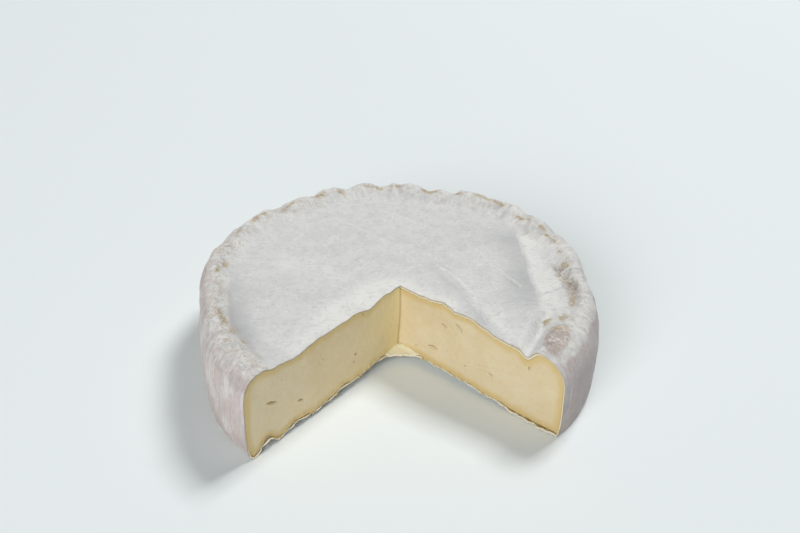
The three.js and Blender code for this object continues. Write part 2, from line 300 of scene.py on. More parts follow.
def section(phi):
    """The outline of the wheel in each direction round the cut's point: distance and height, from
    the middle of the underside out to the foot, up the side and over the rim to the middle."""
    turned = phi[:, None]
    out = reach(turned)
    foot = rim_value(FOOT, turned)
    share = 1 - (1 - np.linspace(0, 1, UNDER_ROWS)[None]) ** UNDER_CROWDING
    under = (out - foot) * share
    lift = 0 * under
    for at, height, length in LIFTS:
        lift = lift + height * hump(under - at, length)
    from_left = under * np.sin(np.minimum(math.pi / 2, LEFT_ANGLE - turned))
    torn = RAGGED_UNDERSIDE * np.maximum(0, ragged(turned, under))
    lift = lift * hump(from_left, LIFT_DEPTH) + torn
    lift = lift * smooth((out - foot - under) / LIFT_FADE)
    under_height = BASE_DISH * np.maximum(0, 1 - (share / BASE_DISH_SHARE) ** 2) + lift

    turn = np.linspace(-math.pi / 2, math.pi / 2, WALL_SAMPLES)[None]
    low = turn < 0
    crest_in = crest_inset(turned)
    crest = top_height(turned, crest_in)
    power = 2 / np.where(low, FOOT_SQUARENESS, rim_value(SQUARENESS, turned))
    inwards = 1 - np.maximum(0, np.cos(turn)) ** power
    upwards = np.abs(np.sin(turn)) ** power
    wall = out - np.where(low, foot, crest_in) * inwards
    rising = BELLY_HEIGHT + (crest - BELLY_HEIGHT) * upwards
    wall_height = np.where(low, BELLY_HEIGHT * (1 - upwards), rising)
    steps = np.hypot(np.diff(wall, axis=1), np.diff(wall_height, axis=1))
    run = np.concatenate([np.zeros_like(out), np.cumsum(steps, axis=1)], axis=1)
    even = np.linspace(0, 1, WALL_ROWS)[1:]
    side = np.array([np.interp(even * r[-1], r, w) for r, w in zip(run, wall)])
    side_height = np.array([np.interp(even * r[-1], r, h) for r, h in zip(run, wall_height)])

    share = np.linspace(0, 1, TOP_ROWS)[None, 1:]
    inset = crest_in + (out - crest_in) * share
    top_heights = top_height(turned, inset)
    distance = np.concatenate([under, side, out - inset], axis=1)
    return distance, np.concatenate([under_height, side_height, top_heights], axis=1)


ROWS = UNDER_ROWS + WALL_ROWS + TOP_ROWS - 2


def placed(phi, distance, height):
    """Points from the wheel's axis, for distances from the cut's point."""
    x = CUT_POINT[0] + distance * np.sin(phi)
    y = CUT_POINT[1] - distance * np.cos(phi)
    return np.stack([x, y, height], axis=-1)


def stitch(a, b):
    """The triangles between two neighbouring rows, which may have different numbers of points."""
    faces = []
    i = j = 0
    while i < len(a) - 1 or j < len(b) - 1:
        on_a = j == len(b) - 1 or (i < len(a) - 1 and (i + 1) * (len(b) - 1) <= (j + 1) * (len(a) - 1))
        if on_a:
            faces.append((a[i], a[i + 1], b[j]))
            i += 1
        else:
            faces.append((a[i], b[j + 1], b[j]))
            j += 1
    return faces


def normals_of(points, faces):
    corners = np.array(faces)
    a, b, c = (points[corners[:, k]] for k in range(3))
    each = np.cross(b - a, c - a)
    total = np.zeros_like(points)
    for k in range(3):
        np.add.at(total, corners[:, k], each)
    return total / np.maximum(np.linalg.norm(total, axis=1, keepdims=True), 1e-12)


# How many columns of points a row has: the most on the long rows round the side, fewer towards the
# cut's point, and a smaller share on the flat of the underside, which ends some rows before the foot.
COLUMN_STEPS = [610, 540, 464, 396, 330, 274, 226, 180, 140, 104, 76, 54, 36, 20]
LONGEST_ROW = 106
UNDER_SHARE_OF_COLUMNS = 0.42
FOOT_ROWS = 8
CROWDING = 0.05


def directions(columns):
    """The columns stand closer together beside the slices."""
    even = np.linspace(0, 1, columns + 1)
    crowded = even - CROWDING * np.sin(2 * math.pi * even)
    return CUT_ANGLE + crowded * 2 * (math.pi - CUT_ANGLE)


sections = {columns: section(directions(columns)) for columns in COLUMN_STEPS}
longest_distance, longest_height = sections[COLUMN_STEPS[0]]
behind = len(longest_distance) // 2
outer_points = []
outer_phi = []
outer_row = []
rows = []
count = 0
for row in range(ROWS):
    wanted = COLUMN_STEPS[0] * min(1, longest_distance[behind, row] / LONGEST_ROW)
    if row < UNDER_ROWS - FOOT_ROWS:
        wanted *= UNDER_SHARE_OF_COLUMNS
    if row in (0, ROWS - 1):
        phi = np.array([math.pi])
        distance, height = np.zeros(1), longest_height[:1, row]
    else:
        columns = min((n for n in COLUMN_STEPS if n >= wanted * 0.999), default=COLUMN_STEPS[-1])
        phi = directions(columns)
        distance, height = (part[:, row] for part in sections[columns])
    outer_points.append(placed(phi, distance, height))
    outer_phi.append(phi)
    outer_row.append(np.full(phi.size, row))
    rows.append(list(range(count, count + phi.size)))
    count += phi.size
outer = np.concatenate(outer_points)
phi_of = np.concatenate(outer_phi)
row_of = np.concatenate(outer_row)
outer_faces = [face for a, b in zip(rows, rows[1:]) for face in stitch(a, b)]
outer_normals = normals_of(outer, outer_faces)

# Where each point of the rind is: on the pressed top, on the gathered crest or on the side, and whether on
# the blister, on the nub, or on the crust that lies in the crest's fold, which is brown and darkened with
# painted shade. The ribbon is the
# rind laid flat: along the rim, up, and in from the belly.
PLATE_FROM, PLATE_FADE = 0.35, 0.65
CREST_FROM, CREST_FADE = 37, 8
SIDE_UP_TO, SIDE_FADE = 39, 8
LEFT_FROM, LEFT_FADE = 232, 14
SIDE_HIGHER_ON_LEFT = 4
RIBBON_RADIUS = 100
NEST_LINE = ((88.5, 15), (93, -20))
NEST_FADE = 6
NEST_WIDTH = 2.8
x, y, z = outer.T
from_axis = np.hypot(x, y)
degrees = np.degrees(np.arctan2(x, -y)) % 360
on_top = row_of >= UNDER_ROWS + WALL_ROWS - 2
above_foot = row_of >= UNDER_ROWS
from_point = np.hypot(x - CUT_POINT[0], y - CUT_POINT[1])
inset_of = reach(phi_of) - from_point
past_crest = np.where(on_top, inset_of - crest_inset(phi_of), 0)
crest_width = rim_value(WIDTH, phi_of)
plate = smooth((past_crest / crest_width - PLATE_FROM) / PLATE_FADE) * on_top
on_wall = (row_of >= UNDER_ROWS - 1) & ~on_top
crest = np.where(on_top, 1 - plate, smooth((z - CREST_FROM) / CREST_FADE)) * above_foot
left_rim = smooth((degrees - LEFT_FROM) / LEFT_FADE)
side_up_to = SIDE_UP_TO + SIDE_HIGHER_ON_LEFT * left_rim
side = np.where(on_top, 0, 1 - smooth((z - side_up_to) / SIDE_FADE)) * above_foot
ribbon = np.stack([RIBBON_RADIUS * phi_of, z, inset_of], axis=1)
blister = blister_shape(x, y) * smooth((z - CREST_FROM) / BLISTER_FADE)
blister_along, blister_across = blister_place(x, y)
nub = hump((np.hypot(x - NUB["x"], (y - NUB["y"]) * NUB["flatness"]) / NUB["size"]) ** 2, 1) * on_top
across, weight = along_line(x, y, *NEST_LINE, NEST_FADE)
nest = hump(across + noise(outer, 5, 41), NEST_WIDTH) * weight * on_top

# The pressed top: wavy ribs of the draining mat, which run along X and turn out over the right
# rim as fine pleats, with soft unevenness, pits and thin ridges. The ribs are strong on the right,
# and break up here and there. Layers of noise are given as height, size and seed, here and below.
RIB_PITCH = 2.9
RIB_HEIGHT = 0.17
RIB_SLANT = 0.12
RIB_WAVER = [(1.1, 15, 3), (0.5, (7, 5, 9), 43)]
FAN_FROM, FAN_FADE, FAN_RADIUS = 62, 30, 95
FAN_RIGHT_OF, FAN_WIDTH = 30, 40
STRONG_RIGHT_OF, STRONG_WIDTH = -10, 60
PIT_DEPTH = 0.2
TOP_GRAIN = [(0.12, (3.6, 1.7, 3), 8)]
TOP_LUMPS = [(0.3, 16, 6), (0.16, 6, 7)]
fan = smooth((from_axis - FAN_FROM) / FAN_FADE) * smooth((x - FAN_RIGHT_OF) / FAN_WIDTH)
rib_line = y + RIB_SLANT * x + fan * (FAN_RADIUS * np.arctan2(y, x) - y) + lumps(outer, RIB_WAVER)
rib_strength = 0.35 + 0.65 * smooth((x - STRONG_RIGHT_OF) / STRONG_WIDTH) + 0.3 * noise(outer, 19, 4)
rib_breaks = np.clip(0.6 + 0.7 * noise(outer, (5, 2.4, 5), 5), 0, 1.4)
fine = plate * RIB_HEIGHT * np.sin(2 * math.pi * rib_line / RIB_PITCH) * rib_breaks * rib_strength
fine += plate * lumps(outer, TOP_GRAIN)
fine -= plate * PIT_DEPTH * smooth((noise(outer, 2.3, 9) - 0.6) / 0.3)
relief = plate * lumps(outer, TOP_LUMPS)
for start, end, rise, width in RIDGES:
    across, weight = along_line(x, y, start, end, RIDGE_FADE)
    fine += rise * hump(across + RIDGE_WAVER * noise(outer, 6, 10), width) * weight * plate

# Painted shade and painted light on the pressed top, over a little random mottling: grey on one side of
# each fold, white on the other, and whiter near the slices. From, to, strength, and how far it spreads to
# the left and to the right of that line.
PAINTED_FOLD_SHADING = [
    ((71.5, -28), (72, 54), -0.36, 17, 1.6),
    ((76, -24), (75, 54), 0.34, 2.2, 9),
    ((42.5, -38), (22, 15), -0.25, 5, 1.6),
    ((47, -36), (31, 8), 0.22, 2, 7),
    ((62, -58), (45, -24), 0.3, 4, 7),
    ((-86, -40), (-88.5, 34), -0.26, 2, 13),
    ((-64, -68), (-90, -18), -0.24, 2, 10),
    ((-34, -28), (2, 3), 0.7, 11, 8),
    ((-60, -56), (-20, -12), 0.3, 7, 7),
    ((0, 0), (30, -26), 0.5, 8, 8),
    ((-20, 4), (-62, 34), 0.25, 12, 9),
]
PAINTED_FOLD_SHADING_FADE = 30
PAINTED_FOLD_SHADING_WAVER = 1.2
tone = 0.1 * noise(outer, 22, 46)
for start, end, strength, to_left, to_right in PAINTED_FOLD_SHADING:
    across, weight = along_line(x, y, start, end, PAINTED_FOLD_SHADING_FADE)
    across = across + PAINTED_FOLD_SHADING_WAVER * noise(outer, 9, 47)
    tone += strength * hump(across, np.where(across < 0, to_left, to_right)) * weight
tone = np.clip(0.5 + plate * tone, 0, 1)

# The crest: lumps between the puckers, pleats that run in from it, and fluffy mould, given as height,
# what the left rim adds to it, size and seed. The nest is a rough crust, brown and partly painted shade.
PLEAT_HEIGHT = 0.85
PLEAT_LEVEL = 0.22
LEFT_PLEATS_LESS = 0.75
FLUFF = [(0.26, 0.06, 2.4, 14), (0.16, 0.12, 1.2, 15)]
NEST_CRUST = [(0.9, 2.4, 40), (0.5, 1.3, 42)]
pleat_reach = np.where(on_top, 1 - smooth((past_crest / crest_width - 0.75) / 0.5), smooth((z - 40) / 6))
pleat_reach = pleat_reach * above_foot * (1 - LEFT_PLEATS_LESS * left_rim)
pleats = PLEAT_HEIGHT * np.abs(noise(ribbon, (1.7, 30, 8), 11)) - PLEAT_LEVEL
fine += pleat_reach * (pleats + 0.3 * noise(ribbon, (3.6, 12, 10), 12))
for height, on_left, size, seed in FLUFF:
    fine += crest * (height + on_left * left_rim) * noise(outer, size, seed)
relief += crest * (0.5 * noise(ribbon, (5.2, 5, 6), 13) + 0.2 * noise(outer, 9, 44))
fine += nest * (lumps(outer, NEST_CRUST) - 0.3)

# The side: soft dents, and fine streaks that run down it.
SIDE_STREAKS = [(0.14, (1.8, 15, 40), 16)]
SIDE_GRAIN = [(0.13, 2.7, 18), (0.07, 1.4, 15)]
SIDE_DENTS = [(0.34, 13, 17)]
SIDE_WAVES = [(0.16, (6, 14, 40), 19)]
fine += side * on_wall * (lumps(ribbon, SIDE_STREAKS) + lumps(outer, SIDE_GRAIN))
relief += side * on_wall * (lumps(outer, SIDE_DENTS) + lumps(ribbon, SIDE_WAVES))

# The blister and the nub at its inner end, grainy on top. The blister is also finely rayed.
RAYS = 9
RAY_HEIGHT = 0.16
relief += NUB["height"] * nub
fine += (blister + nub) * 0.3 * noise(outer, 1.7, 45)
rays = np.sin(RAYS * np.arctan2(blister_across, blister_along - 12) + 2 * noise(outer, 4, 48))
fine += blister * (RAY_HEIGHT * rays - 0.05)

# Nothing stands out past the wheel's own size, and the relief is quieter beside the slices. Painted shade
# darkens the pits and lays a painted shadow in a ring at the blister's foot, and painted highlights
# brighten the humps.
DRAWN_IN = 0.42
QUIETER, QUIET_DEPTH = 0.7, 2.2
TALLEST = 50.4
BLISTER_SHADOW_AT, BLISTER_SHADOW_WIDTH = 0.22, 0.16
relief = relief + fine - DRAWN_IN * (1 - plate) * above_foot
relief *= 1 - QUIETER * hump(slice_gap(phi_of, from_point), QUIET_DEPTH)
outer_moved = outer + outer_normals * relief[:, None]
outer_moved[:, 2] = np.maximum(outer_moved[:, 2], 0)
outer_moved[:, 2] -= 0.7 * np.maximum(0, outer_moved[:, 2] - TALLEST)
# A painted shadow in a ring round the blister's foot, on one side of it.
ring = hump(blister - BLISTER_SHADOW_AT, BLISTER_SHADOW_WIDTH) * smooth((4 - blister_across) / 6)
painted_relief_shading = np.clip(0.5 + fine / (0.7 + 0.35 * plate) - 0.7 * ring, 0, 1)

# The inner face of the shell: under a millimetre in at the slices, deeper where paste hides it.
SKIN_ROWS = [0, UNDER_ROWS - 1, UNDER_ROWS + 18, UNDER_ROWS + WALL_ROWS - 2, ROWS - 1]
SKIN_DEPTHS = [0.8, 0.8, 0.65, 0.5, 0.45]
SKIN = np.interp(np.arange(ROWS), SKIN_ROWS, SKIN_DEPTHS)
HIDDEN_DEPTH = 9.5
HIDDEN_FROM = 7
MIDDLE_HEIGHT = 24
# The right slice shows a thicker skin, and more so along its upper edge.
THICKER = 0.25
THICKER_LIP = 0.75
UPPER_FROM, UPPER_FADE = UNDER_ROWS + WALL_ROWS - 8, 9
UPPER_EDGE = smooth((np.arange(ROWS) - UPPER_FROM) / UPPER_FADE)


def pulled_in(phi, distance, height, thinner, hidden):
    """A section drawn in by the rind's thickness at the slices and by `hidden` away from them."""
    skin = SKIN + (THICKER + THICKER_LIP * UPPER_EDGE) * (phi < math.pi)[:, None] - thinner
    away = smooth(slice_gap(phi[:, None], distance) / HIDDEN_FROM)
    run, rise = np.gradient(distance, axis=1), np.gradient(height, axis=1)
    length = np.maximum(np.hypot(run, rise), 1e-9)
    near = distance - skin * rise / length, height + skin * run / length
    out = distance.max(axis=1, keepdims=True)
    far = distance * (1 - hidden / out), height + (MIDDLE_HEIGHT - height) * hidden / MIDDLE_HEIGHT
    inner = near[0] * (1 - away) + far[0] * away
    inner_height = near[1] * (1 - away) + far[1] * away
    inner[:, [0, -1]] = 0
    inner_height[:, 0] = height[:, 0] + skin[:, 0]
    inner_height[:, -1] = height[:, -1] - skin[:, -1]
    return np.maximum(inner, 0), inner_height


# The columns of the hidden faces: close beside the slices, and wide apart between them.
WIDE_FROM = math.radians(16)
WIDE_COLUMNS = 42
near_slice = np.radians([0, 0.5, 1.2, 2.2, 3.4, 4.8, 6.5, 9, 12])
between = np.linspace(CUT_ANGLE + WIDE_FROM, LEFT_ANGLE - WIDE_FROM, WIDE_COLUMNS)
hidden_phi = np.concatenate([CUT_ANGLE + near_slice, between, (LEFT_ANGLE - near_slice)[::-1]])


def lay_rows(points, phi, distance, height):
    """Adds a grid of hidden points, with one point for all at each end, and returns its rows."""
    first = len(points)
    grid = placed(phi[:, None], distance, height)
    laid = []
    for row in range(distance.shape[1]):
        if row in (0, distance.shape[1] - 1):
            points.append(grid[0, row])
            laid.append([first])
            first += 1
        else:
            points.extend(grid[:, row])
            laid.append(list(range(first, first + len(phi))))
            first += len(phi)
    return laid


def cut_side(angle):
    """The direction from a slice into the cut."""
    turn = 1 if angle < math.pi else -1
    return np.array([-math.cos(angle), -math.sin(angle), 0]) * turn


rind_points = list(outer_moved)
inner_section = pulled_in(hidden_phi, *section(hidden_phi), 0, HIDDEN_DEPTH)
inner_rows = lay_rows(rind_points, hidden_phi, *inner_section)
rind_faces = list(outer_faces)
rind_faces += [face[::-1] for a, b in zip(inner_rows, inner_rows[1:]) for face in stitch(a, b)]

# The edges that the knife left: a narrow band from the outside in, rounded and a little proud,
# and smeared out into a ragged lip along the foot of each slice.
EDGE_STEPS = 5
EDGE_PROUD = 0.1
EDGE_ROUNDING = 0.6
UPPER_PROUD = 0.45
LIP = 1.25
LIP_EVEN, LIP_ROUGH, LIP_TATTERED = 0.3, 0.9, 1.3
LIP_ROWS = 9
FLARE = 0.8
FLARE_FROM, FLARE_FADE = 62, 25
LEAST_PROUD = 0.02
edge_share = np.arange(1, EDGE_STEPS) / EDGE_STEPS
edge_at = []
shared_ends = {}
for end, angle in ((0, CUT_ANGLE), (-1, LEFT_ANGLE)):
    into_cut = cut_side(angle)
    strip = []
    for row in range(ROWS):
        a, b = rows[row][end], inner_rows[row][end]
        if row in (0, ROWS - 1) and row in shared_ends:
            strip.append([a, *shared_ends[row], b])
            continue
        at = np.array([rind_points[a] + (rind_points[b] - rind_points[a]) * t for t in edge_share])
        lower = 1 - smooth((row - UNDER_ROWS + 1) / LIP_ROWS)
        rough = noise(at[:1], 1.5, 20)[0]
        rougher = max(0, noise(at[:1], 4.5, 21)[0])
        flare = FLARE * smooth((np.hypot(at[0, 0], at[0, 1]) - FLARE_FROM) / FLARE_FADE) * (end == 0)
        proud = UPPER_PROUD * UPPER_EDGE[row] * (end == 0) * (1 + rough) + EDGE_PROUD * (1 + 0.5 * rough)
        proud += lower * LIP * (LIP_EVEN + flare + LIP_ROUGH * rough + LIP_TATTERED * rougher)
        proud = max(LEAST_PROUD, proud) * (0 if row in (0, ROWS - 1) else 1)
        at = at + into_cut * (proud * np.sin(math.pi * edge_share) ** EDGE_ROUNDING)[:, None]
        made = list(range(len(rind_points), len(rind_points) + len(at)))
        rind_points.extend(at)
        edge_at.append(made)
        strip.append([a, *made, b])
        if row in (0, ROWS - 1):
            shared_ends[row] = made
    for below, above in zip(strip, strip[1:]):
        for k in range(EDGE_STEPS):
            quad = [below[k], above[k], above[k + 1], below[k + 1]]
            quad = quad[::-1] if end == 0 else quad
            quad = [v for n, v in enumerate(quad) if v not in quad[:n]]
            rind_faces.append(tuple(quad))
rind_points = np.array(rind_points)
# The edge is olive on the outside and cream within, and mostly olive on the left slice.
edge_mark = np.zeros(len(rind_points))
edge_mark[edge_at] = edge_share * 0.6 + 0.4
on_left_edge = (edge_mark > 0) & (rind_points[:, 0] < CUT_POINT[0]) & (rind_points[:, 2] > 8)
edge_mark[on_left_edge] *= 0.45


def find_axis():
    """The wheel's axis in the frame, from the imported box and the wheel's own outline."""
    phi = directions(COLUMN_STEPS[0])
    outline = placed(phi, reach(phi), 0 * phi)
    low, high = (np.array(corner) * 1000 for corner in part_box("cheese_wheel"))
    middle = (outline[:, 0].max() + outline[:, 0].min()) / 2
    return np.array([(low[0] + high[0]) / 2 - middle, high[1] - outline[:, 1].max(), 0])


AXIS = find_axis()


def make_piece(name, points, faces, marks, material):
    """A closed piece that rides on the body, from points in millimetres from the wheel's axis."""
    mesh = bpy.data.meshes.new(name)
    mesh.from_pydata(((points + AXIS) / 1000).tolist(), [], faces)
    mesh.shade_smooth()
    for label, values in marks.items():
        full = np.zeros((len(points), *values.shape[1:]))
        full[: len(values)] = values
        kind, field = ("FLOAT", "value") if values.ndim == 1 else ("FLOAT_VECTOR", "vector")
        mesh.attributes.new(label, kind, "POINT").data.foreach_set(field, full.ravel())
    mesh.materials.append(material)
    piece = bpy.data.objects.new(name, mesh)
    scene.collection.objects.link(piece)
    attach(piece, "root")
    return piece


class Value:
    """A socket of a material, on which sums and products add Math nodes."""

    def __init__(self, tree, socket=None):
        self.tree = tree
        self.socket = socket

    def node(self, kind, settings, sockets, output=0):
        made = self.tree.nodes.new(kind)
        for name, setting in settings.items():
            setattr(made, name, setting)
        for name, value in sockets.items():
            if isinstance(value, Value):
                self.tree.links.new(value.socket, made.inputs[name])
            else:
                made.inputs[name].default_value = value
        return Value(self.tree, made.outputs[output])

    def math(self, operation, *values):
        return self.node("ShaderNodeMath", {"operation": operation}, dict(enumerate(values)))

    def __add__(self, other):
        return self.math("ADD", self, other)

    def __sub__(self, other):
        return self.math("SUBTRACT", self, other)

    def __rsub__(self, other):
        return self.math("SUBTRACT", other, self)

    def __mul__(self, other):
        return self.math("MULTIPLY", self, other)

    __radd__ = __add__
    __rmul__ = __mul__

    def between(self, low, high):
        """0 below low, 1 above high, and a smooth slope from one to the other."""
        settings = {"interpolation_type": "SMOOTHSTEP"}
        return self.node("ShaderNodeMapRange", settings, {"Value": self, "From Min": low, "From Max": high})

    def mark(self, label, output="Fac"):
        return self.node("ShaderNodeAttribute", {"attribute_name": label}, {}, output)

    def spots(self, size, detail=2.0, stretch=(1, 1, 1), rough=0.5, place=None):
        """Noise about `size` millimetres across, from 0 to 1."""
        place = place or self.node("ShaderNodeTexCoord", {}, {}, "Object")
        scaled = self.node("ShaderNodeVectorMath", {"operation": "MULTIPLY"}, {0: place, 1: stretch})
        sockets = {"Vector": scaled, "Scale": 1000 / size, "Detail": detail, "Roughness": rough}
        return self.node("ShaderNodeTexNoise", {}, sockets, "Fac")

    def blend(self, factor, first, second):
        """A colour between two others."""
        return self.node("ShaderNodeMix", {"data_type": "RGBA"}, {0: factor, 6: first, 7: second}, 2)


def rgb(red, green, blue):
    """A colour as seen on a screen, from 0 to 255, in the linear values that a shader takes."""
    def linear(value):
        value = value / 255
        return value / 12.92 if value <= 0.04045 else ((value + 0.055) / 1.055) ** 2.4
    return (linear(red), linear(green), linear(blue), 1)


def new_material(name, constants):
    material = bpy.data.materials.new(name)
    material.use_nodes = True
    shader = material.node_tree.nodes["Principled BSDF"]
    for label, value in constants.items():
        shader.inputs[label].default_value = value
    return material, shader, Value(material.node_tree)


def feed(shader, name, value):
    value.tree.links.new(value.socket, shader.inputs[name])


def roughen(shader, height):
    """Bumps the surface by a height in millimetres."""
    sockets = {"Strength": 1.0, "Distance": 0.001, "Height": height}
    feed(shader, "Normal", height.node("ShaderNodeBump", {}, sockets))


MOULD_WHITE = rgb(219, 219, 216)
MOULD_BRIGHT = rgb(236, 235, 230)
MOULD_GREY = rgb(201, 203, 204)
MOULD_SHADE = rgb(176, 178, 178)
FLUFF_SHADE = rgb(184, 172, 158)
FLUFF_TAN = rgb(198, 182, 162)
SIDE_MAUVE = rgb(209, 196, 194)
SIDE_WHITE = rgb(224, 219, 215)
SIDE_DARK = rgb(186, 174, 172)
SIDE_PEACH = rgb(212, 184, 160)
SIDE_PAINTED_SHADE = rgb(158, 149, 150)
PAINTED_CREVICE_SHADE = rgb(182, 176, 172)
FOOT_CREAM = rgb(222, 202, 178)
CREST_TAN = rgb(192, 174, 142)
CREST_OLIVE = rgb(156, 139, 106)
CRUST_BROWN_AND_SHADE = rgb(146, 130, 108)
EDGE_CREAM = rgb(240, 232, 212)
EDGE_OLIVE = rgb(206, 184, 136)
DARK_SPECK = rgb(140, 112, 96)
BLISTER_PINK = rgb(182, 165, 155)

RIND_FINISH = {"Roughness": 0.95, "Specular IOR Level": 0.15, "Sheen Weight": 0.15, "Sheen Roughness": 0.5}
rind_look, shader, look = new_material("white_mould_rind", RIND_FINISH)
ribbon_place = look.mark("ribbon", "Vector")
painted_relief_shading_mark = look.mark("painted_relief_shading")
tone_mark = look.mark("tone")
# The top is white with random grey mottles, and painted shade and painted light lie along its folds.
colour = look.blend(look.spots(9, 4).between(0.42, 0.62) * 0.4, MOULD_WHITE, MOULD_GREY)
colour = look.blend(look.spots(1.5, 3).between(0.52, 0.7) * 0.5, colour, MOULD_BRIGHT)
colour = look.blend((1 - tone_mark.between(-0.05, 0.5)) * 0.85, colour, MOULD_SHADE)
colour = look.blend(tone_mark.between(0.5, 1.0) * 0.85, colour, MOULD_BRIGHT)
colour = look.blend(look.spots(2.6, 5, rough=0.65).between(0.48, 0.72) * 0.36, colour, MOULD_SHADE)
fluff = look.mark("crest")
colour = look.blend(fluff * look.spots(7, 3).between(0.4, 0.6) * 0.5, colour, MOULD_BRIGHT)
colour = look.blend(fluff * look.spots(1.3, 4, rough=0.75).between(0.48, 0.62) * 0.7, colour, FLUFF_SHADE)
colour = look.blend(fluff * look.spots(6, 5, rough=0.7).between(0.5, 0.62) * 0.6, colour, FLUFF_TAN)
# The side is mauve under thin mould, with fine dark and peach streaks that run down it.
side_colour = look.blend(look.spots(9, 4, (1, 1, 0.5)).between(0.42, 0.6), SIDE_MAUVE, SIDE_WHITE)
low_dark = (1 - look.mark("rise").between(6, 30)) * look.spots(12, 3).between(0.3, 0.6)
side_colour = look.blend(low_dark * 0.75, side_colour, SIDE_DARK)
streak = look.spots(1000, 3, (0.8, 0.09, 0.05), place=ribbon_place)
side_colour = look.blend(streak.between(0.5, 0.64) * 0.55, side_colour, SIDE_DARK)
side_colour = look.blend(look.spots(1.6, 4, rough=0.7).between(0.5, 0.64) * 0.5, side_colour, SIDE_WHITE)
peach_lines = look.spots(1000, 2, (0.14, 0.035, 0.02), place=ribbon_place).between(0.5, 0.6)
peach = look.spots(1.5, 3).between(0.52, 0.62) * peach_lines
side_colour = look.blend(peach * 0.85, side_colour, SIDE_PEACH)
at_foot = (1 - look.mark("rise").between(1.2, 4)) * look.spots(4, 3).between(0.3, 0.5)
side_colour = look.blend(at_foot * 0.8, side_colour, FOOT_CREAM)
# Painted shade on the right side.
side_colour = look.blend(look.mark("painted_right_side_shade") * 0.65, side_colour, SIDE_PAINTED_SHADE)
side_share = (look.mark("side") + look.spots(4, 4) * 0.7 - 0.35).between(0.25, 0.75)
colour = look.blend(side_share, colour, side_colour)
# The blister; the crust in the crest's fold, brown and partly painted shade; and tan and olive where the
# mould wore off.
blister_mark = look.mark("blister")
blister_spots = look.spots(1.8, 4, rough=0.75).between(0.3, 0.54)
colour = look.blend(blister_mark.between(0.08, 0.4) * blister_spots * 0.9, colour, BLISTER_PINK)
nest_mark = look.mark("nest")
crust = nest_mark * look.spots(1.3, 4, rough=0.75).between(0.46, 0.52)
colour = look.blend(crust * 0.9, colour, CRUST_BROWN_AND_SHADE)
tan = (look.mark("tan") + nest_mark * 0.35) * 1.6 * look.spots(1.5, 4, rough=0.65).between(0.34, 0.54)
colour = look.blend(tan.between(0.2, 1.1) * 0.92, colour, CREST_TAN)
olive = look.mark("tan") * look.spots(1.1, 3).between(0.5, 0.62)
colour = look.blend(olive * 0.8, colour, CREST_OLIVE)
specks = look.mark("speck") * look.spots(0.9, 2).between(0.6, 0.66)
colour = look.blend(specks, colour, DARK_SPECK)
# Painted shade darkens pits and creases, painted highlights brighten humps, and the cut edge shows the
# skin's own colours.
colour = look.blend((1 - painted_relief_shading_mark.between(0.0, 0.5)) * 0.44, colour, PAINTED_CREVICE_SHADE)
colour = look.blend(painted_relief_shading_mark.between(0.52, 1.2) * 0.6, colour, MOULD_BRIGHT)
colour = look.blend(look.mark("edge").between(0.0, 0.45), colour, EDGE_OLIVE)
colour = look.blend(look.mark("edge").between(0.5, 0.7), colour, EDGE_CREAM)
feed(shader, "Base Color", colour)
fuzz = look.spots(1.1, 4, rough=0.65) * 0.22 + look.spots(2.4, 3, (0.7, 1.6, 1)) * 0.24
fuzz = fuzz + fluff * look.spots(1.6, 4, rough=0.7) * 0.6 + nest_mark * look.spots(1.4, 3) * 0.5
fuzz = fuzz + look.mark("side") * streak * 0.25
roughen(shader, fuzz)

# Where the mould wore off the crest and the tan skin shows: degrees round the rim, distance from
# the wheel's axis, length along the rim and width. Round the back they go on at uneven steps.
TAN_FLECKS = [
    (128.5, 97.5, 3.4, 1.4),
    (125.5, 99, 1.6, 1.0),
    (119, 98.8, 3.8, 1.5),
    (115, 97, 2.0, 1.0),
    (111.3, 97, 3.2, 1.4),
    (105, 95.5, 2.2, 1.0),
    (97.3, 93.5, 2.8, 1.3),
    (76.5, 93, 5.2, 1.9),
    (67, 90, 3.4, 2.6),
    (254, 94.5, 3.2, 1.6),
    (259, 96.5, 2.0, 1.1),
    (281.7, 95.5, 5.0, 2.0),
    (286, 93.5, 4.2, 1.8),
    (291.5, 91.8, 3.4, 1.4),
    (299, 91.5, 2.8, 1.1),
]
BACK_FLECKS = 18
BACK_FROM, BACK_PITCH, BACK_RADIUS = 134, 6.2, 100.3
TAN_ABOVE = 40
# The blister's inner end wears a tan cap: its place along the blister, and its length.
CAP_AT, CAP_LENGTH = 9.5, 3.6
# Painted shade greys the side on the right: its direction in degrees, and how far that reaches.
RIGHT_SHADE_AT, RIGHT_SHADE_REACH = 82, 42
for k in range(BACK_FLECKS):
    turn = BACK_FROM + BACK_PITCH * (k + 0.8 * draw(k + 300))
    radius = BACK_RADIUS + 2.4 * (draw(k + 330) - 0.5)
    TAN_FLECKS.append((turn, radius, 2 + 2.4 * draw(k + 360), 1 + 0.8 * draw(k + 390)))
tan_mark = np.zeros(len(outer))
for turn, radius, length, width in TAN_FLECKS:
    tan_mark += hump(np.radians(degrees - turn) * from_axis, length) * hump(from_axis - radius, width)
tan_mark = np.clip(tan_mark, 0, 1) * (z > TAN_ABOVE) * above_foot
cap = blister ** 0.5 * hump(blister_along - CAP_AT, CAP_LENGTH)
tan_mark += 1.1 * cap + 1.1 * nub

